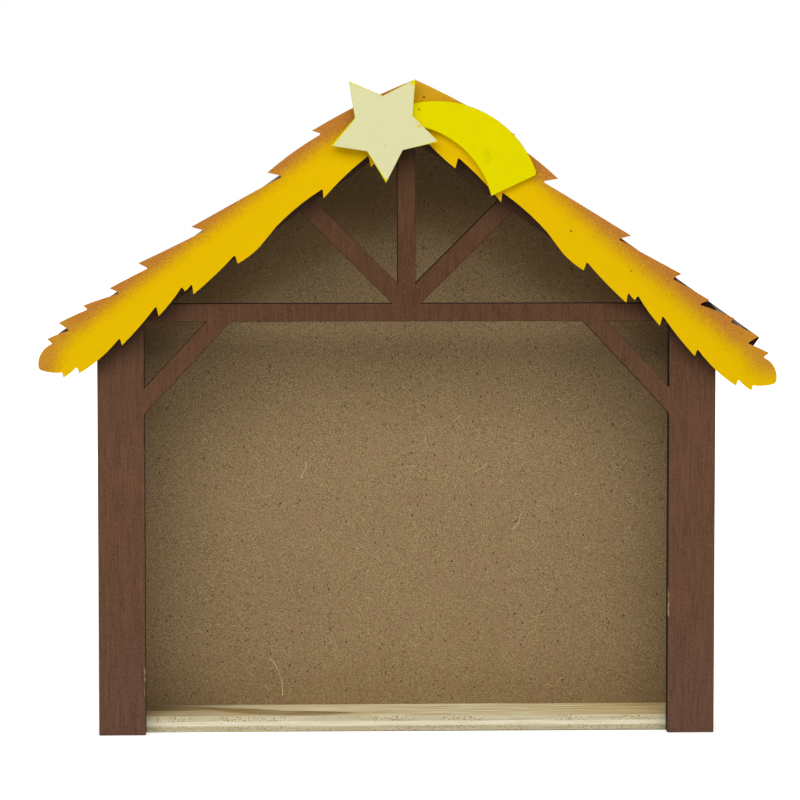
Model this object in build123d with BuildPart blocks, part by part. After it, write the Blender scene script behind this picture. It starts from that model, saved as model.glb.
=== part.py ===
from build123d import *
import os
from math import atan2, ceil, cos, degrees, hypot, radians, sin, tan

# Wooden nativity stable, in millimetres. It is a shallow gabled box of sheet wood: a cut-out frame in
# front, a floor, two side walls, two roof panels and a back panel, with a toothed straw fascia along the
# roof's front edge and a comet star glued over the ridge. +X is the viewer's right, +Y the back, +Z up.
# The origin is on the table, midway between the posts and midway between the star's face and the back.

# Overall sizes
body_width = 310.0
ridge_height = 326.1
roof_pitch = 35.5
eave_overhang = 21.5
room_depth = 38.0
roof_overhang = 4.0

# Sheet thicknesses
frame_sheet = 9.0
floor_sheet = 8.0
wall_sheet = 6.0
roof_sheet = 6.0
back_sheet = 3.0
straw_sheet = 3.5
tail_sheet = 3.0
star_sheet = 3.0

# Front frame: the rail width is shared by the tie beam, king post, struts and knee braces, and the king post
# and its struts stand a little to the left
post_width = 23.5
rail_width = 9.0
rafter_width = 14.3
beam_drop = 117.8
king_left = 0.4
strut_angle = 45.0
strut_sink = 0.85
brace_run = 43.4
brace_drop = 46.3

# Straw fascia: a little steeper than the roof, glued to the right of the ridge and turned clockwise. Its courses
# are drawn for one length of slope, and stretch with the one that reaches out over the eaves.
straw_pitch = 36.0
straw_overhang = 20.0
straw_slope = 216.3
straw_shift = 3.5
straw_rise = 2.4
straw_turn = 1.2
straw_peak = 0.3
straw_crotch = 22.5
notch_radius = 0.5
nose_radius = 2.5

# Each course of straw is a tip, the notch beside it and how far the course bulges outward. A point is a distance
# along the fascia's slope, down from its ridge or up from its eave, and a distance out of that slope.
ridge_top_courses = [
    ((56.2, 8.6), (53.2, 4.6), 1.2),
    ((86.3, 4.2), (80.9, -1.6), 0.8),
]
eave_top_courses = [
    ((83.7, 3.7), (88.0, -1.65), 0.15),
    ((51.8, 3.9), (54.3, -0.85), -0.2),
    ((32.8, 2.0), (35.9, -3.1), 0.1),
    ((17.2, 2.4), (17.9, -0.5), 0.2),
    ((2.2, 2.3), (4.6, -3.9), 0.2),
    ((-7.1, -1.0), (-6.2, -4.5), 0.3),
]
eave_nose = [(-14.4, -5.5), (-19.1, -11.1), (-15.0, -15.8), (-10.6, -18.9)]
eave_low_courses = [
    ((-11.5, -21.4), (-2.8, -20.8), -0.3),
    ((-3.9, -24.2), (22.8, -21.1), -1.2),
    ((21.7, -24.8), (46.9, -18.4), -0.5),
    ((44.9, -23.3), (62.8, -17.9), -0.5),
    ((62.7, -20.7), (67.8, -19.5), -0.2),
    ((65.3, -24.3), (93.5, -20.0), -0.5),
    ((92.1, -24.4), (105.7, -23.8), -0.5),
]
ridge_low_courses = [
    ((98.0, -20.2), (68.3, -18.0), 0.9),
    ((70.7, -22.2), (40.3, -17.5), 0.8),
]
ridge_low_tip = (42.4, -22.7)
ridge_low_bulge = -1.0

# Star, with one tip down, and its tail: the tail's edges are arcs placed from the star's centre
star_tip_radius = 28.0
star_waist_radius = 15.0
star_tips = 5
star_left = 12.0
star_drop = 20.4
star_turn = 2.1
tail_top_edge = [(0.0, 5.5), (40.0, 10.6), (76.1, -23.9)]
tail_low_edge = [(53.4, -34.6), (36.0, -8.4), (0.0, 0.3)]
tail_corner_radius = 2.0

# Brads
brad_radius = 0.6
brad_head_radius = 1.1
brad_head_height = 0.8
brad_length = 18.0
brad_point = 1.5
brad_clearance = 0.03
brad_inset = 12.0
brad_spacing = 95.0

# Worked-out sizes
lean_sin = sin(radians(roof_pitch))
lean_cos = cos(radians(roof_pitch))
slope = tan(radians(roof_pitch))
half_width = body_width / 2
eave_reach = half_width + eave_overhang
straw_sin = sin(radians(straw_pitch))
straw_cos = cos(radians(straw_pitch))
slope_length = (half_width + straw_overhang) / straw_cos
straw_stretch = slope_length / straw_slope
doorway_half = half_width - post_width
room_half = half_width - wall_sheet
ridge_underside = ridge_height - roof_sheet / lean_cos
beam_underside = ridge_height - beam_drop
beam_middle = beam_underside + rail_width / 2

# Depths, from the star's face to the rear of the back panel
comet_depth = star_sheet + tail_sheet
shell_depth = straw_sheet + roof_overhang + frame_sheet + room_depth + back_sheet
star_back = star_sheet - (comet_depth + shell_depth) / 2
tail_back = star_back + tail_sheet
roof_front = tail_back + straw_sheet
frame_front = roof_front + roof_overhang
room_front = frame_front + frame_sheet
room_back = room_front + room_depth
back_rear = room_back + back_sheet

sides = {"left": -1, "right": 1}
os.makedirs("parts", exist_ok=True)


def facing(depth):
    """A plane at one depth that faces the viewer, with sketch x along X and sketch y along Z."""
    return Plane.XZ.offset(-depth)


def roof_top(x):
    """Height of the roof panels' upper face at a distance from the middle."""
    return ridge_height - slope * x


def roof_under(x):
    """Height of the roof panels' underside at a distance from the middle."""
    return ridge_underside - slope * x


def house_corners(ridge):
    """Corners of the gabled outline between the table and one level of the roof."""
    eave = ridge - slope * half_width
    return [(-half_width, 0), (half_width, 0), (half_width, eave), (0, ridge), (-half_width, eave)]


def spread(first, last):
    """Evenly spaced places for brads, both ends included, no further apart than their spacing."""
    steps = ceil((last - first) / brad_spacing)
    return [first + (last - first) * n / steps for n in range(steps + 1)]


def bar(start, end):
    """A straight rail of a sketch between two points of its centre line."""
    run = end[0] - start[0]
    rise = end[1] - start[1]
    with Locations(((start[0] + end[0]) / 2, (start[1] + end[1]) / 2)):
        Rectangle(hypot(run, rise), rail_width, rotation=degrees(atan2(rise, run)))


# Places of the brads: each plane lies on the face that the head is flush with, and points out of it
def wall_brads(side):
    depths = (room_front + brad_inset, room_back - brad_inset)
    return [Plane((side * half_width, depth, floor_sheet / 2), z_dir=(side, 0, 0)) for depth in depths]


def rafter_brads(side):
    middle = frame_front + frame_sheet / 2
    out = (side * lean_sin, 0, lean_cos)
    stops = spread(brad_inset, half_width - brad_inset)
    return [Plane((side * x, middle, roof_top(x)), z_dir=out) for x in stops]


def back_brad(x, z):
    return Plane((x, back_rear, z), z_dir=(0, 1, 0))


def floor_edge_brads():
    end = room_half - brad_length - brad_inset
    return [back_brad(x, floor_sheet / 2) for x in spread(-end, end)]


def wall_edge_brads(side):
    heights = spread(floor_sheet + brad_inset, roof_under(half_width) - brad_inset)
    return [back_brad(side * (half_width - wall_sheet / 2), z) for z in heights]


def roof_edge_brads(side):
    stops = spread(2 * brad_inset, half_width - brad_inset)
    return [back_brad(side * x, (roof_top(x) + roof_under(x)) / 2) for x in stops]


def both(places):
    """The places of the left side and the right side together."""
    return places(-1) + places(1)


def brads(places):
    """Headed wire brads, each pointing along the negative normal of its place."""
    shank = brad_length - brad_point
    hanging = (Align.CENTER, Align.CENTER, Align.MAX)
    with Locations(*places):
        Cylinder(brad_head_radius, brad_head_height, align=hanging)
        Cylinder(brad_radius, shank, align=hanging)
        with Locations((0, 0, -shank)):
            Cone(brad_radius / 4, brad_radius, brad_point, align=hanging)


def sink_heads(places):
    """Holes for brads through the piece that their heads are flush with."""
    with Locations(*places):
        CounterBoreHole(
            radius=brad_radius + brad_clearance,
            counter_bore_radius=brad_head_radius + brad_clearance,
            counter_bore_depth=brad_head_height,
            depth=brad_length,
        )


def sink_points(places):
    """Blind holes for brads in the piece that they are driven into."""
    with Locations(*places):
        Hole(radius=brad_radius + brad_clearance, depth=brad_length + brad_clearance)


# Front frame: one cut-out sheet; its right half is drawn and mirrored, and then the king post and struts added
rafter_drop = rafter_width / lean_cos
rafter_middle = ridge_underside - rafter_drop / 2
strut_foot = (0, beam_underside + rail_width - strut_sink)
strut_reach = (rafter_middle - strut_foot[1]) / (tan(radians(strut_angle)) + slope)
strut_head = (strut_reach, rafter_middle - slope * strut_reach)

# The knee braces' lower edges end on the post and the beam, and their centre lines run on into both
brace_cos = brace_run / hypot(brace_run, brace_drop)
brace_sin = brace_drop / hypot(brace_run, brace_drop)
brace_x = doorway_half + brace_sin * rail_width / 2
brace_z = beam_underside - brace_drop + brace_cos * rail_width / 2
into_post = doorway_half + rail_width / 2
brace_foot = (into_post, brace_z - (into_post - brace_x) * brace_drop / brace_run)
brace_head = (brace_x - (beam_middle - brace_z) * brace_run / brace_drop, beam_middle)

with BuildPart() as front_frame:
    with BuildSketch(facing(room_front)):
        with Locations((half_width - post_width / 2, 0)):
            Rectangle(post_width, ridge_height, align=(Align.CENTER, Align.MIN))
        with BuildLine():
            Polyline(
                (0, ridge_underside),
                (half_width, roof_under(half_width)),
                (half_width, roof_under(half_width) - rafter_drop),
                (0, ridge_underside - rafter_drop),
                close=True,
            )
        make_face()
        bar((0, beam_middle), (into_post, beam_middle))
        bar(brace_foot, brace_head)
        mirror(about=Plane.YZ)
        with Locations((-king_left, 0)):
            bar((0, beam_middle), (0, rafter_middle))
            for side in sides.values():
                bar(strut_foot, (side * strut_head[0], strut_head[1]))
        with BuildLine():
            Polyline(*house_corners(ridge_underside), close=True)
        make_face(mode=Mode.INTERSECT)
    extrude(amount=frame_sheet)
    sink_points(both(rafter_brads))
front_frame.part.label = "front_frame"
export_step(front_frame.part, "parts/front_frame.step")

# Floor board: between the side walls, level with the feet of the posts
with BuildPart() as floor_board:
    with BuildSketch():
        with Locations((0, (room_front + room_back) / 2)):
            Rectangle(2 * room_half, room_depth)
    extrude(amount=floor_sheet)
    sink_points(both(wall_brads))
    sink_points(floor_edge_brads())
floor_board.part.label = "floor_board"
export_step(floor_board.part, "parts/floor_board.step")

# Side walls: strips behind the posts, their tops bevelled to the roof
for name, side in sides.items():
    with BuildPart() as side_wall:
        with BuildSketch(facing(room_back)):
            with BuildLine():
                Polyline(
                    (side * room_half, 0),
                    (side * half_width, 0),
                    (side * half_width, roof_under(half_width)),
                    (side * room_half, roof_under(room_half)),
                    close=True,
                )
            make_face()
        extrude(amount=room_depth)
        sink_heads(wall_brads(side))
        sink_points(wall_edge_brads(side))
    side_wall.part.label = f"{name}_side_wall"
    export_step(side_wall.part, f"parts/{name}_side_wall.step")

# Roof panels: cut square, so that only their lower corners meet at the ridge, standing out past the frame in front
square_cut = roof_sheet * lean_sin
eave_under_reach = eave_reach - square_cut
for name, side in sides.items():
    with BuildPart() as roof_panel:
        with BuildSketch(facing(room_back)):
            with BuildLine():
                Polyline(
                    (side * square_cut, roof_top(square_cut)),
                    (side * eave_reach, roof_top(eave_reach)),
                    (side * eave_under_reach, roof_under(eave_under_reach)),
                    (0, ridge_underside),
                    close=True,
                )
            make_face()
        extrude(amount=room_back - roof_front)
        sink_heads(rafter_brads(side))
        sink_points(roof_edge_brads(side))
    roof_panel.part.label = f"{name}_roof_panel"
    export_step(roof_panel.part, f"parts/{name}_roof_panel.step")

# Back panel: house-shaped hardboard over the rear edges of the floor, walls and roof, its peak cut off level
back_brads = floor_edge_brads() + both(wall_edge_brads) + both(roof_edge_brads)
with BuildPart() as back_panel:
    with BuildSketch(facing(back_rear)):
        with BuildLine():
            Polyline(*house_corners(ridge_height), close=True)
        make_face()
        Rectangle(body_width, 2 * roof_top(square_cut), mode=Mode.INTERSECT)
    extrude(amount=back_sheet)
    sink_heads(back_brads)
back_panel.part.label = "back_panel"
export_step(back_panel.part, "parts/back_panel.step")


# Straw fascia: one toothed board on the roof panels' front edges; its right half is drawn and mirrored
def from_ridge(point):
    """A drawn point's place down the slope, where it is measured down from the ridge."""
    return (point[0] * straw_stretch, point[1])


def from_eave(point):
    """A drawn point's place down the slope, where it is measured up from the eave."""
    return (slope_length - point[0] * straw_stretch, point[1])


def courses(drawn, place):
    """Courses of straw with their points put in place."""
    return [(place(tip), place(notch), bulge) for tip, notch, bulge in drawn]


def on_slope(point):
    """Sketch coordinates of a point measured down the fascia's slope and out of it."""
    down, out = point
    return (down * straw_cos + out * straw_sin, out * straw_cos - down * straw_sin)


def on_middle(height):
    """A point on the fascia's middle line, measured down its slope and out of it."""
    return (-height * straw_sin, height * straw_cos)


def at(point):
    """Picks the corners of a sketch that are at a point of the slope."""
    corner = Vector(*on_slope(point))
    return vertices().filter_by(lambda vertex: (vertex.center() - corner).length < 0.01)


def course(start, end, bulge):
    """One course of straw, bowed outward by its bulge."""
    middle = ((start[0] + end[0]) / 2, (start[1] + end[1]) / 2 + bulge)
    ThreePointArc(on_slope(start), on_slope(middle), on_slope(end))


straw_face = Plane(
    (straw_shift, roof_front, ridge_height + straw_rise),
    x_dir=(cos(radians(straw_turn)), 0, -sin(radians(straw_turn))),
    z_dir=(0, -1, 0),
)
top_courses = courses(ridge_top_courses, from_ridge) + courses(eave_top_courses, from_eave)
low_courses = courses(eave_low_courses, from_eave) + courses(ridge_low_courses, from_ridge)
nose_top, nose_end, nose_bend, nose_low = [from_eave(point) for point in eave_nose]
low_tip = from_ridge(ridge_low_tip)
with BuildPart() as straw_fascia:
    with BuildSketch(straw_face):
        with BuildLine():
            last = on_middle(straw_peak)
            for tip, notch, bulge in top_courses:
                course(last, tip, bulge)
                Line(on_slope(tip), on_slope(notch))
                last = notch
            ThreePointArc(on_slope(last), on_slope(nose_top), on_slope(nose_end))
            ThreePointArc(on_slope(nose_end), on_slope(nose_bend), on_slope(nose_low))
            last = nose_low
            for tip, notch, bulge in low_courses:
                Line(on_slope(last), on_slope(tip))
                course(tip, notch, bulge)
                last = notch
            Line(on_slope(last), on_slope(low_tip))
            course(low_tip, on_middle(-straw_crotch), ridge_low_bulge)
            Line(on_slope(on_middle(-straw_crotch)), on_slope(on_middle(straw_peak)))
        make_face()
        for tip, notch, bulge in top_courses + low_courses:
            fillet(at(notch), notch_radius)
        fillet(at(nose_end), nose_radius)
        mirror(about=Plane.YZ)
    extrude(amount=straw_sheet)
straw_fascia.part.label = "straw_fascia"
export_step(straw_fascia.part, "parts/straw_fascia.step")

# Comet tail: a curved board glued on the fascia, narrow under the star and wide at its cut end
star_centre = Vector(-star_left, 0, ridge_height - star_drop)
with BuildPart() as comet_tail:
    with BuildSketch(Plane(star_centre + Vector(0, tail_back, 0), z_dir=(0, -1, 0), x_dir=(1, 0, 0))):
        with BuildLine():
            ThreePointArc(*tail_top_edge)
            Line(tail_top_edge[-1], tail_low_edge[0])
            ThreePointArc(*tail_low_edge)
            Line(tail_low_edge[-1], tail_top_edge[0])
        make_face()
        fillet(vertices().sort_by(Axis.X)[-1], tail_corner_radius)
    extrude(amount=tail_sheet)
comet_tail.part.label = "comet_tail"
export_step(comet_tail.part, "parts/comet_tail.step")

# Star: a five-pointed board glued on the tail's narrow end
star_corners = []
for n in range(2 * star_tips):
    reach = star_waist_radius if n % 2 else star_tip_radius
    turn = radians(star_turn + 180 * n / star_tips)
    star_corners.append((reach * sin(turn), -reach * cos(turn)))
with BuildPart() as star:
    with BuildSketch(Plane(star_centre + Vector(0, star_back, 0), z_dir=(0, -1, 0), x_dir=(1, 0, 0))):
        with BuildLine():
            Polyline(*star_corners, close=True)
        make_face()
    extrude(amount=star_sheet)
star.part.label = "star"
export_step(star.part, "parts/star.step")

# Brads: through the side walls into the floor, through the roof into the frame, and round the back
with BuildPart() as side_wall_brads:
    brads(both(wall_brads))
side_wall_brads.part.label = "side_wall_brads"
export_step(side_wall_brads.part, "parts/side_wall_brads.step")

with BuildPart() as roof_brads:
    brads(both(rafter_brads))
roof_brads.part.label = "roof_brads"
export_step(roof_brads.part, "parts/roof_brads.step")

with BuildPart() as back_panel_brads:
    brads(back_brads)
back_panel_brads.part.label = "back_panel_brads"
export_step(back_panel_brads.part, "parts/back_panel_brads.step")
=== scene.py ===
from math import atan2, ceil, cos, hypot, radians, sin

import bmesh
import bpy
import numpy as np
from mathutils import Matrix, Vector
from mathutils.geometry import convex_hull_2d


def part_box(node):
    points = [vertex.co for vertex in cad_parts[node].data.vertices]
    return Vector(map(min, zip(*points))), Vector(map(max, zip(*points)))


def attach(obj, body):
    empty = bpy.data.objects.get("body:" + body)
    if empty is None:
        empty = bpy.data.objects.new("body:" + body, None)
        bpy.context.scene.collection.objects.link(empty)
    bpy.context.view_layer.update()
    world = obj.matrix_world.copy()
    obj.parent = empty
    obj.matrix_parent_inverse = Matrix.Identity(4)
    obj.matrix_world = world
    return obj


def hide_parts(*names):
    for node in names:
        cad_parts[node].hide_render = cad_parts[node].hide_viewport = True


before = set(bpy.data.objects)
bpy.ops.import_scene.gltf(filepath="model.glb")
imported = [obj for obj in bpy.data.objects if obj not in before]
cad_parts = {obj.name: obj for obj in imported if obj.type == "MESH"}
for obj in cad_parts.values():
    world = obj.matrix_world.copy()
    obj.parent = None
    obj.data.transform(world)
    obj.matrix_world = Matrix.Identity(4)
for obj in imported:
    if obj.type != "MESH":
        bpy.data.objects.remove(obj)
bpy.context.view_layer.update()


# Front frame
# One sheet of plywood with the doorway and the gable's openings cut out, brushed with matte brown paint.
# Its cut faces are scorched nearly black, and paint has chipped off the posts' inner edges.
class Signal:
    """One output socket in a node tree. Arithmetic on signals adds Math nodes to the tree."""

    def __init__(self, nodes, socket):
        self.nodes = nodes
        self.socket = socket

    def __add__(self, other):
        return self.nodes.maths("ADD", self, other)

    def __sub__(self, other):
        return self.nodes.maths("SUBTRACT", self, other)

    def __rsub__(self, other):
        return self.nodes.maths("SUBTRACT", other, self)

    def __mul__(self, other):
        return self.nodes.maths("MULTIPLY", self, other)

    def __truediv__(self, other):
        return self.nodes.maths("DIVIDE", self, other)

    def __mod__(self, other):
        return self.nodes.maths("FLOORED_MODULO", self, other)

    def __abs__(self):
        return self.nodes.maths("ABSOLUTE", self)

    __radd__ = __add__
    __rmul__ = __mul__


class Nodes:
    """Adds nodes to a tree."""

    def __init__(self, tree):
        self.tree = tree

    def add(self, kind, settings=None, inputs=None, output=0):
        """Adds a node of one type, with its settings and then its sockets' values or links."""
        made = self.tree.nodes.new(kind)
        for name, value in (settings or {}).items():
            setattr(made, name, value)
        for key, value in (inputs or {}).items():
            self.feed(made.inputs[key], value)
        return Signal(self, made.outputs[output])

    def feed(self, socket, value):
        """Links a signal to a socket, or sets the socket's value."""
        if isinstance(value, Signal):
            self.tree.links.new(value.socket, socket)
        else:
            socket.default_value = value

    def maths(self, operation, first, second=0.0):
        """A Math node on signals or numbers."""
        return self.add("ShaderNodeMath", {"operation": operation}, {0: first, 1: second})

    def mix(self, share, first, second):
        """A colour between two, or the first with the second laid over it."""
        inputs = {0: share, 6: first, 7: second}
        return self.add("ShaderNodeMix", {"data_type": "RGBA"}, inputs, output=2)


class Finish(Nodes):
    """A material in the making. Lengths in it are in millimetres."""

    def __init__(self, name, roughness, gloss):
        self.material = bpy.data.materials.new(name)
        self.material.use_nodes = True
        super().__init__(self.material.node_tree)
        self.shader = self.tree.nodes["Principled BSDF"]
        self.shader.inputs["Roughness"].default_value = roughness
        self.shader.inputs["Specular IOR Level"].default_value = gloss
        metres = self.add("ShaderNodeTexCoord", output="Object")
        to_millimetres = {0: metres, "Scale": 1000.0}
        self.place = self.add("ShaderNodeVectorMath", {"operation": "SCALE"}, to_millimetres)

    def wears(self, **sockets):
        """Links signals to the shader's own sockets."""
        for name, signal in sockets.items():
            self.feed(self.shader.inputs[name.replace("_", " ")], signal)
        return self.material

    def axis(self, name, vector=None):
        """One coordinate of a vector, and of the place on the object if none is given."""
        return self.add("ShaderNodeSeparateXYZ", inputs={0: vector or self.place}, output=name)

    def facing(self, name):
        """How far the surface faces along an axis, from -1 to 1."""
        return self.axis(name, self.add("ShaderNodeTexCoord", output="Normal"))

    def spread(self, size, stretch, turn, seed):
        """Coordinates in which a pattern's features are one unit across."""
        scale = [1 / (size * longer) for longer in stretch]
        inputs = {"Vector": self.place, "Location": (seed, seed, seed), "Rotation": turn, "Scale": scale}
        return self.add("ShaderNodeMapping", inputs=inputs)

    def noise(self, size, stretch=(1, 1, 1), turn=(0, 0, 0), detail=2.0, seed=0.0):
        """Clouds from 0 to 1 of one size, drawn out along an axis by its stretch."""
        inputs = {"Vector": self.spread(size, stretch, turn, seed), "Scale": 1.0, "Detail": detail}
        return self.add("ShaderNodeTexNoise", inputs=inputs)

    def flakes(self, size, stretch=(1, 1, 1), turn=(0, 0, 0), seed=0.0):
        """Small patches side by side, each with its own value from 0 to 1."""
        where = {"Vector": self.spread(size, stretch, turn, seed), "Scale": 1.0}
        return self.axis("X", self.add("ShaderNodeTexVoronoi", inputs=where, output="Color"))

    def pores(self, spacing, stretch=(1, 1, 1), turn=(0, 0, 0), seed=0.0):
        """Scattered points, 0 at a point and about 1 halfway between points."""
        where = {"Vector": self.spread(spacing, stretch, turn, seed), "Scale": 1.0}
        return self.add("ShaderNodeTexVoronoi", inputs=where, output="Distance")

    def specks(self, spacing, radius, share, stretch=(1, 1, 1), turn=(0, 0, 0), seed=0.0):
        """Scattered spots, 1 inside and 0 outside. Share is the part of the places that has a spot."""
        chosen = self.maths("LESS_THAN", self.flakes(spacing, stretch, turn, seed), share)
        reach = radius / spacing
        return self.ramp(self.pores(spacing, stretch, turn, seed), reach, 0.5 * reach) * chosen

    def ramp(self, signal, start, end):
        """Rises smoothly from 0 at the start to 1 at the end."""
        limits = {"Value": signal, "From Min": start, "From Max": end}
        return self.add("ShaderNodeMapRange", {"interpolation_type": "SMOOTHSTEP"}, limits)

    def distance(self, first, second=(0, 0, 0)):
        """How far one place is from another, or from the origin."""
        inputs = {0: first, 1: second}
        return self.add("ShaderNodeVectorMath", {"operation": "DISTANCE"}, inputs, output="Value")

    def bump(self, height, depth):
        """A normal for relief whose height of 1 stands for that depth."""
        return self.add("ShaderNodeBump", inputs={"Height": height, "Distance": depth / 1000})


def srgb(red, green, blue):
    """A colour as a screen shows it, from 0 to 255, turned into the linear colour that a shader takes."""
    shown = [channel / 255 for channel in (red, green, blue)]
    linear = [((c + 0.055) / 1.055) ** 2.4 if c > 0.04045 else c / 12.92 for c in shown]
    return (*linear, 1.0)


weld = 0.000002
brad_hole_edge = 0.0002
flat_angle = radians(0.5)
corner_angle = radians(25)


def placed(name, data):
    """A new object in the scene for a mesh, a curve, a lamp or a camera."""
    made = bpy.data.objects.new(name, data)
    bpy.context.scene.collection.objects.link(made)
    return made


def rule(shape, low, high, cell):
    """Cuts a shape's faces into cells."""
    for axis in range(3):
        normal = Vector(float(axis == n) for n in range(3))
        for n in range(1, ceil((high[axis] - low[axis]) / cell)):
            everything = shape.verts[:] + shape.edges[:] + shape.faces[:]
            point = low + n * cell * normal
            bmesh.ops.bisect_plane(shape, geom=everything, plane_co=point, plane_no=normal)


def eased_board(node, ease, cell=None):
    """A board with the CAD node's shape and eased edges, ruled into cells where values vary over it.
    Edges in the middle plane stay sharp, because the roof panels meet there."""
    shape = bmesh.new()
    shape.from_mesh(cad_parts[node].data)
    bmesh.ops.remove_doubles(shape, verts=shape.verts, dist=weld)
    bmesh.ops.dissolve_limit(shape, angle_limit=flat_angle, verts=shape.verts, edges=shape.edges)
    corners = []
    for edge in shape.edges:
        sharp = edge.calc_face_angle() > corner_angle
        in_middle = max(abs(end.co.x) for end in edge.verts) < weld
        if sharp and edge.calc_length() > brad_hole_edge and not in_middle:
            corners.append(edge)
    bmesh.ops.bevel(
        shape, geom=corners, offset=ease, segments=2, profile=0.5, affect="EDGES", clamp_overlap=True)
    if cell:
        rule(shape, *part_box(node), cell)
    mesh = bpy.data.meshes.new(f"{node}_board")
    shape.to_mesh(mesh)
    shape.free()
    board = placed(mesh.name, mesh)
    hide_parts(node)
    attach(board, "root")
    return board


def brown_coat(paint):
    """Thin matte brown, brushed upright over open grain: its colour and the height of its relief.
    It is greyer near the floor, and a painted shade makes it darker and redder towards the roof."""
    grain = paint.noise(0.45, stretch=(1, 1, 26))
    flakes = paint.flakes(0.32, stretch=(1, 1, 1.4), seed=4.0)
    brush = paint.noise(2.0, stretch=(1, 1, 14), seed=5.0)
    tone = paint.ramp(0.5 * grain + 0.28 * flakes + 0.22 * brush, 0.18, 0.82)
    colour = paint.mix(tone, srgb(76, 48, 31), srgb(117, 82, 59))
    height = paint.axis("Z")
    greyer = paint.mix(tone, srgb(74, 52, 43), srgb(113, 84, 73))
    colour = paint.mix(0.35 * paint.ramp(height, 80.0, 20.0), colour, greyer)
    # Painted shade: the coat turns darker and redder towards the roof, standing in for the dimmer light up
    # there.
    painted_top_shade = paint.mix(tone, srgb(36, 18, 2), srgb(80, 46, 8))
    colour = paint.mix(0.5 * paint.ramp(height, 110.0, 255.0), colour, painted_top_shade)
    colour = paint.mix(0.55 * paint.specks(24.0, 0.4, 0.4), colour, srgb(190, 152, 110))
    colour = paint.mix(0.5 * paint.specks(6.0, 0.45, 0.3, seed=3.0), colour, srgb(52, 33, 23))
    return colour, grain + 0.5 * flakes + 0.5 * brush


def frame_paint(doorway_half, front):
    """The brown coat with a pitted king post, scorched cut faces, chips along the doorway's edges and a
    painted shade under the roof.
    """
    paint = Finish("frame_paint", roughness=0.62, gloss=0.15)
    colour, relief = brown_coat(paint)
    along, height = paint.axis("X"), paint.axis("Z")
    king_post = paint.ramp(abs(along), 8.0, 6.0) * paint.ramp(height, 205.0, 215.0)
    pits = king_post * paint.specks(1.7, 0.5, 0.45, stretch=(0.7, 1, 1.6), seed=8.0)
    colour = paint.mix(0.45 * pits, colour, srgb(50, 30, 19))
    nicks = king_post * paint.specks(5.0, 0.45, 0.5, seed=12.0)
    colour = paint.mix(0.5 * nicks, colour, srgb(150, 116, 86))
    scorched = paint.ramp(abs(paint.facing("Y")), 0.96, 0.7)
    colour = paint.mix(scorched, colour, srgb(16, 9, 5))
    left_knock, right_knock = 29.0, 67.0
    knocked = left_knock + (right_knock - left_knock) * paint.ramp(along, -10.0, 10.0)
    near_knock = paint.ramp(abs(height - knocked), 11.0, 3.0)
    chipping = paint.noise(1.3, stretch=(0.7, 1, 3), seed=7.0) + 0.26 * near_knock
    at_doorway = paint.ramp(abs(abs(along) - doorway_half), 0.8, 0.4)
    at_front = paint.ramp(paint.axis("Y") - front, 1.6, 0.8)
    chips = paint.ramp(chipping, 0.7, 0.76) * at_doorway * at_front
    colour = paint.mix(0.75 * chips, colour, srgb(200, 168, 134))
    # Painted shade: the rafters and the tops of the struts and king post are darkened just under the roof.
    painted_roof_shade = paint.ramp(height + 0.71 * abs(along), 280.0, 303.0)
    colour = paint.mix(0.55 * painted_roof_shade, colour, srgb(34, 18, 8))
    return paint.wears(Base_Color=colour, Normal=paint.bump(relief, 0.06))


front_frame = eased_board("front_frame", ease=0.0004)
foot_height = 0.001
frame_points = [v.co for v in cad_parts["front_frame"].data.vertices]
feet = [abs(point.x) for point in frame_points if point.z < foot_height]
frame_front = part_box("front_frame")[0].y
front_frame.data.materials.append(frame_paint(1000 * min(feet), 1000 * frame_front))


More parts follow.
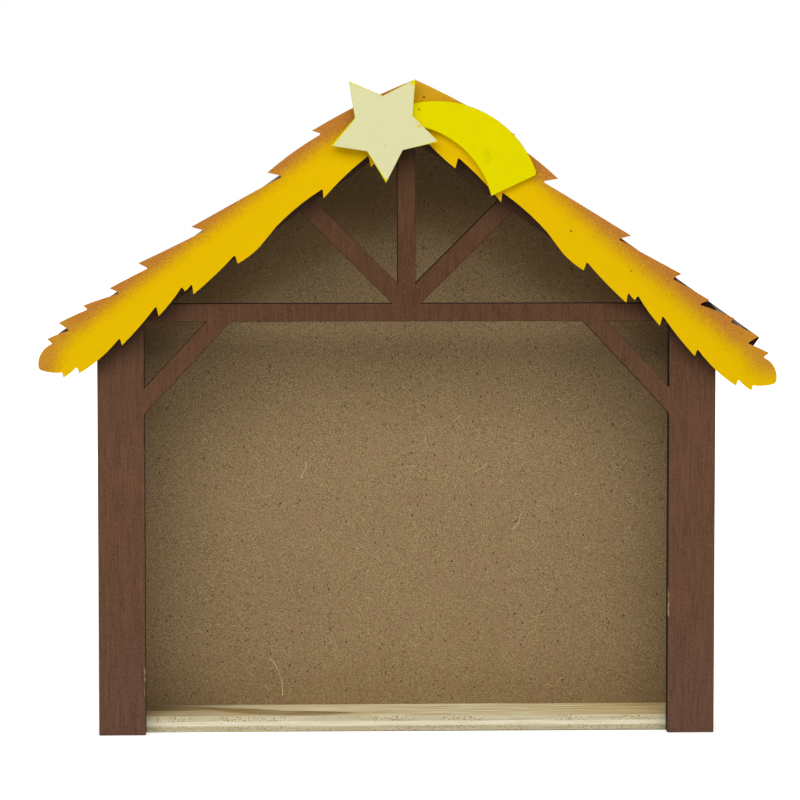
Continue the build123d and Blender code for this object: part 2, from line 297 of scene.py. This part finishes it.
# Floor board
# A strip of raw plywood between the side walls, sanded on top. Its sawn front edge shows the plies:
# two rough plies of end grain with a smooth pale one between them, under thin faces.
def raw_plywood(front):
    """Pale sanded veneer with long grain and one dark flame, and bare plies at the sawn edges."""
    wood = Finish("raw_plywood", roughness=0.7, gloss=0.15)
    along, across, height = wood.axis("X"), wood.axis("Y"), wood.axis("Z")
    grain = wood.noise(0.9, stretch=(28, 1, 1))
    bands = wood.noise(4.0, stretch=(18, 1, 1), seed=4.0)
    streaks = wood.ramp(0.6 * grain + 0.4 * bands, 0.36, 0.64)
    pale = wood.mix(wood.ramp(along, 40.0, 130.0), srgb(255, 250, 214), srgb(255, 236, 176))
    face = wood.mix(streaks, srgb(206, 181, 124), pale)
    flame_middle, flame_half, flame_width = -68.0, 45.0, 19.0
    from_line = across + 0.27 * along + 6.8 + 9.0 * (bands - 0.5)
    off_middle = (along - flame_middle) / flame_half
    width = flame_width - flame_width * off_middle * off_middle + 8.0 * (grain - 0.5)
    flame = wood.ramp(from_line, 1.2, -1.2) * wood.ramp(from_line + width, -3.0, 6.0)
    # Darker and more saturated towards the left front.
    darker_left_front = wood.ramp(along, -55.0, -110.0) * wood.ramp(from_line, 4.0, -4.0)
    face = wood.mix(0.45 * darker_left_front, face, srgb(176, 144, 84))
    face = wood.mix((0.95 - 0.4 * streaks) * flame, face, srgb(142, 109, 50))
    # Painted shade in the floor's back left corner, streaked with the grain.
    painted_corner_shade = wood.ramp(along - 1.6 * across + 50.0 * (bands - 0.5), -112.0, -165.0)
    face = wood.mix((1.0 - 0.25 * streaks) * painted_corner_shade, face, srgb(108, 77, 34))
    at_front = wood.ramp(across - front, 0.85, 0.25)
    face = wood.mix(0.6 * at_front, face, srgb(255, 248, 212))
    pits = wood.specks(0.8, 0.42, 0.85, stretch=(1.2, 1, 1), seed=6.0)
    worn = wood.noise(9.0, stretch=(2, 1, 1), seed=8.0) + 0.05 * wood.ramp(height, 5.0, 3.0)
    fibres = wood.ramp(grain, 0.35, 0.65)
    rough = wood.mix(fibres, srgb(203, 194, 158), srgb(218, 209, 176))
    pitted = wood.mix(wood.ramp(worn, 0.5, 0.62), srgb(136, 120, 76), srgb(144, 100, 48))
    rough = wood.mix(0.8 * wood.ramp(worn, 0.36, 0.6) * pits, rough, pitted)
    rough = wood.mix(0.4 * wood.ramp(height, 3.0, 2.2), rough, srgb(170, 158, 126))
    smooth = wood.mix(fibres, srgb(226, 218, 189), srgb(240, 232, 207))
    middle_ply = wood.ramp(abs(height - 4.15), 1.3, 1.0)
    thin_faces = wood.ramp(abs(height - 4.1), 3.5, 3.8)
    edge = wood.mix(middle_ply, rough, smooth)
    edge = wood.mix(0.5 * thin_faces, edge, srgb(196, 176, 130))
    # Painted shadow: a thin dark line along the foot of the sawn front edge, where the board stands on the
    # table.
    painted_contact_shadow = wood.ramp(height, 0.6, 0.2) * wood.ramp(along, -70.0, 10.0)
    edge = wood.mix(0.85 * painted_contact_shadow, edge, srgb(64, 60, 52))
    sawn = wood.ramp(abs(wood.facing("Z")), 0.75, 0.5)
    colour = wood.mix(sawn, face, edge)
    return wood.wears(Base_Color=colour, Normal=wood.bump(0.5 * grain - pits, 0.08))


floor_board = eased_board("floor_board", ease=0.0003)
floor_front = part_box("floor_board")[0].y
floor_board.data.materials.append(raw_plywood(1000 * floor_front))


# Side walls
# Plain plywood strips behind the posts, glued to the frame and nailed to the floor. They have the frame's
# brown paint.
def wall_paint():
    """The frame's brown coat on a plain face."""
    paint = Finish("wall_paint", roughness=0.62, gloss=0.15)
    colour, relief = brown_coat(paint)
    return paint.wears(Base_Color=colour, Normal=paint.bump(relief, 0.06))


wall_finish = wall_paint()
for side in ("left", "right"):
    wall = eased_board(f"{side}_side_wall", ease=0.0003)
    wall.data.materials.append(wall_finish)


# Roof panels
# Thin plywood boards, cut square at the ridge and nailed on the frame's rafters, painted dark brown. The
# paint is light grey along the top of the front edges, and some of the straw's spray has reached the right
# one.
def roof_paint(ridge, eave, front):
    """Dark brown paint with the grain running down the slope, light grey along the top of its front edge.
    """
    paint = Finish("roof_paint", roughness=0.6, gloss=0.06)
    along = paint.axis("X")
    grain = paint.noise(0.6, stretch=(20, 1, 20))
    bands = paint.noise(5.0, stretch=(1, 8, 1), seed=3.0)
    tone = paint.ramp(0.6 * grain + 0.4 * bands, 0.36, 0.66)
    colour = paint.mix(tone, srgb(42, 23, 13), srgb(64, 37, 22))
    fall = (ridge[1] - eave[1]) / (eave[0] - ridge[0])
    below_top = ridge[1] - fall * (abs(along) - ridge[0]) - paint.axis("Z")
    at_front = paint.ramp(paint.axis("Y") - front, 1.65, 0.45)
    # Light grey along the top of the front edges, stronger on the right panel and widest near its eave.
    widest_grey = paint.ramp(abs(along - 161.0), 9.0, 5.0)
    uneven = 2.4 * (paint.noise(2.0, seed=6.0) - 0.5)
    grey_top_edge = paint.ramp(below_top + uneven - 1.2 * widest_grey, 1.0, 0.5)
    worn = 0.1 + 0.65 * paint.ramp(along, -10.0, 10.0)
    colour = paint.mix(worn * at_front * grey_top_edge, colour, srgb(150, 146, 136))
    sprayed = paint.ramp(abs(along - 90.0), 34.0, 28.0)
    colour = paint.mix(at_front * sprayed, colour, srgb(196, 122, 48))
    return paint.wears(Base_Color=colour, Normal=paint.bump(grain, 0.08))


panel_points = [v.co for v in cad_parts["right_roof_panel"].data.vertices]
panel_corners = [(1000 * point.x, 1000 * point.z) for point in panel_points]
ridge_corner = max(panel_corners, key=lambda corner: corner[1])
eave_corner = max(panel_corners)
roof_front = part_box("right_roof_panel")[0].y
roof_finish = roof_paint(ridge_corner, eave_corner, 1000 * roof_front)
for side in ("left", "right"):
    panel = eased_board(f"{side}_roof_panel", ease=0.0004)
    panel.data.materials.append(roof_finish)


# Back panel
# A sheet of raw brown hardboard, nailed on behind. Its face is a felt of wood fibres with dark specks of
# bark in it, and single pale fibres lie loose on the surface.
def hardboard():
    """Pressed brown fibre with fine felt, bark specks and pale slivers."""
    board = Finish("hardboard", roughness=0.72, gloss=0.12)
    felt = board.pores(0.5)
    flakes = board.flakes(0.28, seed=6.0)
    mottle = board.noise(2.4, seed=3.0)
    clouds = board.noise(35.0, seed=8.0)
    tone = board.ramp(0.5 * flakes + 0.4 * felt + 0.04 * mottle + 0.06 * clouds, 0.22, 0.82)
    colour = board.mix(tone, srgb(106, 87, 55), srgb(180, 155, 115))
    warmer = board.ramp(board.noise(9.0, seed=5.0), 0.42, 0.62)
    colour = board.mix(0.3 * warmer, colour, srgb(150, 119, 88))
    height = board.axis("Z")
    near_floor = board.ramp(height, 42.0, 8.0)
    colour = board.mix(0.18 * near_floor, colour, srgb(80, 58, 30))
    # Painted shade: the board is darker and warmer in a band under the roof's slopes, on both of its
    # faces.
    painted_roof_shade = board.ramp(height + 0.51 * abs(board.axis("X")), 250.0, 267.0)
    colour = board.mix(0.36 * painted_roof_shade, colour, srgb(112, 74, 24))
    for turn, seed in ((0.5, 0.0), (1.6, 4.0), (2.6, 9.0)):
        slivers = board.specks(3.4, 0.3, 0.3, stretch=(0.5, 0.5, 2.2), turn=(0, turn, 0), seed=seed)
        colour = board.mix(0.3 * slivers, colour, srgb(196, 172, 128))
    colour = board.mix(0.6 * board.specks(1.5, 0.32, 0.3, seed=1.0), colour, srgb(78, 58, 34))
    for turn, seed in ((1.0, 2.0), (2.3, 6.0)):
        flecks = board.specks(4.0, 0.62, 0.3, stretch=(0.75, 1, 1.3), turn=(0, turn, 0), seed=seed)
        colour = board.mix(0.85 * flecks, colour, srgb(58, 42, 24))
    return board.wears(Base_Color=colour, Normal=board.bump(felt + 0.3 * mottle, 0.05))


back_panel = eased_board("back_panel", ease=0.0002)
back_panel.data.materials.append(hardboard())
room_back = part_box("back_panel")[0].y


def pale_fibre():
    """Bare straw-coloured wood, some of it nearly as brown as the board."""
    fibre = Finish("pale_fibre", roughness=0.6, gloss=0.15)
    paler = fibre.ramp(fibre.noise(9.0, seed=2.0), 0.4, 0.65)
    colour = fibre.mix(paler, srgb(186, 162, 120), srgb(216, 194, 150))
    return fibre.wears(Base_Color=colour, Roughness=0.55 + 0.15 * paler)


def scattered_fibres(sizes, finish):
    """A tree that lays bent fibres at random over a wall that faces the front."""
    tree = bpy.data.node_groups.new("scattered_fibres", "GeometryNodeTree")
    tree.is_modifier = True
    tree.interface.new_socket("Wall", in_out="INPUT", socket_type="NodeSocketGeometry")
    for name in sizes:
        tree.interface.new_socket(name, in_out="INPUT", socket_type="NodeSocketFloat")
    tree.interface.new_socket("Fibres", in_out="OUTPUT", socket_type="NodeSocketGeometry")
    nodes = Nodes(tree)
    given = {name: nodes.add("NodeGroupInput", output=name) for name in ("Wall", *sizes)}
    half = 0.5 * given["Length"]
    bend = nodes.add("GeometryNodeCurveQuadraticBezier", inputs={
        "Resolution": 6,
        "Start": nodes.add("ShaderNodeCombineXYZ", inputs={"X": -1.0 * half}),
        "Middle": nodes.add("ShaderNodeCombineXYZ", inputs={"Z": half}),
        "End": nodes.add("ShaderNodeCombineXYZ", inputs={"X": half})})
    ring = nodes.add("GeometryNodeCurvePrimitiveCircle", inputs={
        "Resolution": 5, "Radius": 0.5 * given["Thickness"]})
    fibre = nodes.add("GeometryNodeCurveToMesh", inputs={
        "Curve": bend, "Profile Curve": ring, "Fill Caps": True})
    places = nodes.add("GeometryNodeDistributePointsOnFaces", inputs={
        "Mesh": given["Wall"], "Density": given["Per Square Metre"], "Seed": 11})
    turn = nodes.add("FunctionNodeRandomValue", {"data_type": "FLOAT_VECTOR"}, {
        "Min": (0, 0, 0), "Max": (0, radians(360), 0), "Seed": 3})
    stretch = nodes.add("FunctionNodeRandomValue", {"data_type": "FLOAT_VECTOR"}, {
        "Min": (0.4, 1, 0.1), "Max": (1.4, 1, 1), "Seed": 8})
    laid = nodes.add("GeometryNodeInstanceOnPoints", inputs={
        "Points": places, "Instance": fibre, "Rotation": turn, "Scale": stretch})
    whole = nodes.add("GeometryNodeRealizeInstances", inputs={"Geometry": laid})
    painted = nodes.add("GeometryNodeSetMaterial", inputs={"Geometry": whole, "Material": finish})
    nodes.feed(tree.nodes.new("NodeGroupOutput").inputs["Fibres"], painted)
    return tree


def as_plain_mesh(piece):
    """A piece's curve or modifiers turned into a mesh."""
    done = piece.evaluated_get(bpy.context.evaluated_depsgraph_get())
    return bpy.data.meshes.new_from_object(done)


fibre_finish = pale_fibre()
short_sizes = {"Per Square Metre": 1300.0, "Length": 0.004, "Thickness": 0.00022}
wall_corners = [(-0.145, 0.012), (0.145, 0.012), (0.145, 0.2), (0, 0.3), (-0.145, 0.2)]
wall_mesh = bpy.data.meshes.new("short_fibres")
wall_mesh.from_pydata([(x, room_back, z) for x, z in wall_corners], [], [range(len(wall_corners))])
wall_mesh.materials.append(fibre_finish)
short_fibres = placed("short_fibres", wall_mesh)
scatter = short_fibres.modifiers.new("scatter", "NODES")
scatter.node_group = scattered_fibres(short_sizes, fibre_finish)
for socket in scatter.node_group.interface.items_tree:
    if socket.name in short_sizes:
        scatter[socket.identifier] = short_sizes[socket.name]
short_fibres.data = as_plain_mesh(short_fibres)
short_fibres.modifiers.clear()

long_runs = [
    [(-69.6, 32.1), (-67.6, 30.9), (-65.2, 26.7), (-62.4, 19.4), (-62.7, 12.7)],
    [(60.6, 107.4), (59.9, 106.1), (59.6, 102.6), (58.8, 100.7), (55.9, 98.7)],
    [(-50.7, 133.2), (-49.9, 131.7), (-51.5, 128.5), (-53.1, 125.4)],
    [(11.2, 146.5), (10.8, 144.8), (11.5, 142.7), (12.4, 140.6)],
    [(1.3, 131.0), (3.6, 130.9), (7.0, 131.7)],
    [(35.8, 127.9), (39.2, 129.9), (43.3, 133.0)],
]
strands = bpy.data.curves.new("long_fibres", "CURVE")
strands.dimensions = "3D"
strands.bevel_depth = 0.0002
strands.bevel_resolution = 1
strands.use_fill_caps = True
strands.materials.append(fibre_finish)
for run in long_runs:
    strand = strands.splines.new("NURBS")
    strand.points.add(len(run) - 1)
    for point, (x, z) in zip(strand.points, run):
        point.co = (x / 1000, room_back, z / 1000, 1)
    strand.order_u = 3
    strand.use_endpoint_u = True
loose_strands = placed("long_fibre_curves", strands)
long_fibres = placed("long_fibres", as_plain_mesh(loose_strands))
bpy.data.objects.remove(loose_strands)
for fibres in (short_fibres, long_fibres):
    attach(fibres, "root")


# Straw fascia
# One toothed board glued on the front edges of the roof, painted yellow. Its upper edge and its two ends
# are sprayed orange-brown, and the spray fades down the board in fine droplets.
def store_spray_depth(board, node):
    """Stores how far each vertex is from a string pulled tight over the board's tips, in millimetres.
    On the left the string goes on round the board's end."""
    points = [Vector((v.co.x, v.co.z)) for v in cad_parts[node].data.vertices]
    hull = [points[n] for n in convex_hull_2d(points)]
    middle = sum(hull, Vector((0, 0))) / len(hull)
    place = np.array([(v.co.x, v.co.z) for v in board.data.vertices])
    depth = np.full(len(place), np.inf)
    for start, end in zip(hull, hull[1:] + hull[:1]):
        along = end - start
        if along.length < weld:
            continue
        outwards = Vector((along.y, -along.x)).normalized()
        if outwards.dot(start - middle) < 0:
            outwards.negate()
        least_upwards = -0.3 if start.x < 0 else 0.5
        if outwards.y < least_upwards:
            continue
        share = np.clip((place - start) @ np.array(along) / along.length_squared, 0, 1)
        gap = place - start - share[:, None] * np.array(along)
        depth = np.minimum(depth, np.hypot(*gap.T))
    board.data.attributes.new("spray_mm", "FLOAT", "POINT").data.foreach_set("value", 1000 * depth)


def spots(paint, colour, marks, stain):
    """Lays round spots over a colour. A mark is a place in X and Z, a radius and a strength."""
    flatten = {0: paint.place, 1: (1, 0, 1)}
    upright = paint.add("ShaderNodeVectorMath", {"operation": "MULTIPLY"}, flatten)
    for x, z, radius, strength in marks:
        away = paint.distance(upright, (x, 0, z))
        colour = paint.mix(strength * paint.ramp(away, radius, 0.5 * radius), colour, stain)
    return colour


def straw_paint():
    """Flat yellow with sprayed droplets near the upper edge, scorched cut faces and bare lower arrises.
    The spray is thinner beside the star and at the board's ends."""
    paint = Finish("straw_paint", roughness=0.65, gloss=0.02)
    along = paint.axis("X")
    droplets = paint.noise(0.55, detail=3.0)
    drift = paint.noise(6.0, seed=4.0)
    yellow = paint.mix(paint.ramp(drift, 0.3, 0.7), srgb(231, 187, 0), srgb(232, 189, 0))
    depth = paint.add("ShaderNodeAttribute", {"attribute_name": "spray_mm"}, output="Fac")
    broad = 9.3 + 1.9 * paint.ramp(along, -10.0, 100.0)
    away = depth / (broad + 2.5 * (drift - 0.5))
    cover = paint.ramp(away + 1.4 * (droplets - 0.5), 1.6, 0.4)
    brown = paint.mix(paint.ramp(droplets, 0.32, 0.68), srgb(172, 103, 43), srgb(200, 132, 61))
    brown = paint.mix(cover, srgb(198, 132, 6), brown)
    by_star = paint.ramp(abs(along - 14.0), 28.0, 12.0)
    at_ends = paint.ramp(abs(along), 158.0, 176.0)
    colour = paint.mix((0.95 - 0.5 * by_star - 0.2 * at_ends) * cover, yellow, brown)
    fringe = paint.ramp(away, 2.0, 1.3) * paint.ramp(away, 0.6, 0.9)
    stray = paint.specks(0.9, 0.32, 0.5, seed=5.0) * fringe
    colour = paint.mix(0.4 * stray, colour, srgb(190, 122, 34))
    grit = paint.specks(1.4, 0.3, 0.4, seed=2.0) * paint.ramp(away, 1.7, 1.1)
    colour = paint.mix(0.45 * grit, colour, srgb(132, 78, 22))
    dots = [(8.0, 320.1, 0.8, 0.8), (17.9, 319.7, 0.6, 0.35),
            (81.3, 253.6, 0.7, 0.8), (111.4, 233.7, 0.6, 0.6)]
    colour = spots(paint, colour, dots, srgb(84, 56, 20))
    frontal = abs(paint.facing("Y"))
    scorched = paint.ramp(frontal, 0.8, 0.4)
    colour = paint.mix(scorched, colour, srgb(54, 42, 33))
    arrises = paint.ramp(frontal, 0.98, 0.94) * paint.ramp(frontal, 0.1, 0.3)
    bare = arrises * paint.ramp(paint.facing("Z"), -0.1, -0.2)
    colour = paint.mix(0.8 * bare, colour, srgb(255, 244, 190))
    return paint.wears(Base_Color=colour, Normal=paint.bump(droplets, 0.03))


straw_fascia = eased_board("straw_fascia", ease=0.00025, cell=0.003)
store_spray_depth(straw_fascia, "straw_fascia")
straw_fascia.data.materials.append(straw_paint())


# Comet tail
# A curved board glued on the fascia, painted lemon yellow all over.
def lemon_paint():
    """Flat lemon yellow with a dark dot and a grey smudge, deeper on the cut faces."""
    paint = Finish("lemon_paint", roughness=0.6, gloss=0.01)
    drift = paint.noise(8.0)
    peel = paint.noise(0.6, detail=3.0, seed=2.0)
    colour = paint.mix(paint.ramp(drift, 0.3, 0.7), srgb(227, 216, 0), srgb(229, 218, 0))
    colour = spots(paint, colour, [(5.4, 314.0, 0.7, 0.8)], srgb(110, 96, 10))
    smudge = [(39.0, 292.6, 2.2, 0.14), (39.9, 289.9, 2.4, 0.13), (39.3, 287.3, 1.6, 0.08)]
    colour = spots(paint, colour, smudge, srgb(150, 140, 10))
    cut_faces = paint.ramp(abs(paint.facing("Y")), 0.6, 0.3)
    colour = paint.mix(0.5 * cut_faces, colour, srgb(188, 176, 0))
    return paint.wears(Base_Color=colour, Normal=paint.bump(peel, 0.02))


comet_tail = eased_board("comet_tail", ease=0.00025)
comet_tail.data.materials.append(lemon_paint())


# Star
# A five-pointed board glued on the tail's narrow end. It is lemon yellow like the tail, and its face is
# printed cream a little out of register, so that slivers of yellow show at some of its edges.
def cream_print(centre, tip, waist, turn):
    """Cream inside a five-pointed outline, lemon yellow outside it, at the edges and on two tips."""
    paint = Finish("cream_print", roughness=0.6, gloss=0.08)
    lemon = srgb(226, 216, 0)
    drift = paint.noise(8.0)
    peel = paint.noise(0.6, detail=3.0, seed=2.0)
    cream = paint.mix(paint.ramp(drift, 0.3, 0.7), srgb(223, 222, 171), srgb(224, 223, 173))
    yellow_dots = [(5.1, 305.8, 1.0, 0.9), (5.9, 305.6, 0.8, 0.9)]
    cream = spots(paint, cream, yellow_dots, srgb(226, 206, 20))
    grey_marks = [(-11.5, 295.4, 0.8, 0.35), (-11.2, 296.8, 0.7, 0.3)]
    cream = spots(paint, cream, grey_marks, srgb(176, 172, 130))
    across = paint.axis("X") - centre[0]
    up = paint.axis("Z") - centre[1]
    angle = paint.maths("ARCTAN2", across, 0.0 - up) - turn
    away = paint.distance(paint.add("ShaderNodeCombineXYZ", inputs={0: across, 1: up}))
    tenth = radians(36)
    folded = abs((angle + tenth) % (2 * tenth) - tenth)
    corner = (waist * cos(tenth), waist * sin(tenth))
    side = hypot(tip - corner[0], corner[1])
    along = away * paint.maths("COSINE", folded)
    beside = away * paint.maths("SINE", folded)
    outside = (along - tip) * (corner[1] / side) + beside * ((tip - corner[0]) / side)
    printed = paint.ramp(outside, 0.05, -0.15) * paint.ramp(abs(paint.facing("Y")), 0.6, 0.8)
    colour = paint.mix(printed, lemon, cream)
    yellow_tips = [(3.7, 329.0, 4.6, 1.0), (-11.6, 278.6, 1.8, 1.0)]
    colour = spots(paint, colour, yellow_tips, lemon)
    return paint.wears(Base_Color=colour, Normal=paint.bump(peel, 0.02))


star = eased_board("star", ease=0.00025)
star_points = [(v.co.x, v.co.z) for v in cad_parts["star"].data.vertices]
star_corners = np.unique(np.round(star_points, 6), axis=0)
star_centre = star_corners.mean(axis=0)
reaches = np.hypot(*(star_corners - star_centre).T)
lowest = star_corners[star_corners[:, 1].argmin()] - star_centre
star_turn = atan2(lowest[0], -lowest[1])
print_shift = np.array((0.25, -0.1))
print_turn = radians(0.9)
print_reach = 0.985
star.data.materials.append(cream_print(
    1000 * star_centre + print_shift,
    1000 * print_reach * reaches.max(),
    1000 * reaches.min(),
    star_turn + print_turn))


# Brads
# Short headed wire brads of bright steel, driven flush: through the side walls into the floor, through the
# roof into the frame, and through the back panel into the edges in front of it.
def brad_steel():
    """Drawn steel wire, a little dull."""
    steel = Finish("brad_steel", roughness=0.38, gloss=0.5)
    steel.shader.inputs["Metallic"].default_value = 1.0
    dull = steel.noise(0.5, detail=3.0)
    colour = steel.mix(steel.ramp(dull, 0.35, 0.65), srgb(150, 146, 140), srgb(190, 187, 182))
    return steel.wears(Base_Color=colour, Roughness=0.3 + 0.25 * dull)


brad_finish = brad_steel()
for node in ("side_wall_brads", "roof_brads", "back_panel_brads"):
    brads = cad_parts[node]
    brads.data.materials.clear()
    brads.data.materials.append(brad_finish)


# Studio
# A white table that runs on into a white background, a wide softbox in front and above, a lamp on each
# side of it and a softbox behind. The white is only seen: lamps and a faint warm fill light the stable.
def seen_directly(nodes):
    """1 for what the camera, mirrors and glass see, and 0 for light that falls on the stable."""
    kinds = ("Camera", "Glossy", "Transmission")
    rays = [nodes.add("ShaderNodeLightPath", output=f"Is {kind} Ray") for kind in kinds]
    return nodes.maths("MINIMUM", rays[0] + rays[1] + rays[2], 1.0)


black = (0, 0, 0, 1)
white = (1, 1, 1, 1)
table_reach = 6.0
table_top = -0.0001
table_signs = [(-1, -1), (1, -1), (1, 1), (-1, 1)]
table_corners = [(table_reach * x, table_reach * y, table_top) for x, y in table_signs]
table_mesh = bpy.data.meshes.new("table")
table_mesh.from_pydata(table_corners, [], [range(len(table_corners))])
table = placed("table", table_mesh)
paper = Finish("table_paper", roughness=0.9, gloss=0.1)
paper.shader.inputs["Base Color"].default_value = (0.86, 0.86, 0.86, 1)
paper.shader.inputs["Emission Strength"].default_value = 1.0
glow_near = 0.54
glow_rise = paper.ramp(paper.distance(paper.place), 300.0, 1000.0)
glow = (glow_near + (1.0 - glow_near) * glow_rise) * seen_directly(paper)
table_mesh.materials.append(paper.wears(Emission_Color=paper.mix(glow, black, white)))

world = bpy.data.worlds.new("studio")
bpy.context.scene.world = world
world.use_nodes = True
sky = Nodes(world.node_tree)
background = world.node_tree.nodes["Background"]
seen = seen_directly(sky)
fill = 0.09
fill_colour = (1, 0.8, 0.55, 1)
sky.feed(background.inputs["Color"], sky.mix(seen, fill_colour, white))
sky.feed(background.inputs["Strength"], fill + (1.0 - fill) * seen)

aim = Vector((0, 0, 0.16))
for name, watts, azimuth, elevation, reach, width, height in (
        ("front_softbox", 219.0, -4, 38, 6.0, 6.4, 3.8),
        ("left_lamp", 21.0, -50, 30, 3.0, 1.6, 1.6),
        ("right_lamp", 14.0, 50, 30, 3.0, 1.6, 1.6),
        ("rear_softbox", 170.0, 180, 35, 6.0, 6.4, 2.2)):
    light = bpy.data.lights.new(name, "AREA")
    light.shape = "RECTANGLE"
    light.size = width
    light.size_y = height
    light.energy = watts
    lamp = placed(name, light)
    turn, lift = radians(azimuth), radians(elevation)
    lamp.location = aim + reach * Vector((sin(turn) * cos(lift), -cos(turn) * cos(lift), sin(lift)))
    lamp.rotation_euler = (aim - lamp.location).to_track_quat("-Z", "Y").to_euler()

view = bpy.data.cameras.new("camera")
view.sensor_width = 36.0
view.lens = 169.07
camera = placed("camera", view)
camera.location = (-0.06794, -1.89393, 0.30857)
camera.rotation_euler = (radians(85.744), 0, radians(-1.963))
bpy.context.scene.camera = camera

bpy.context.scene.view_settings.view_transform = "Standard"
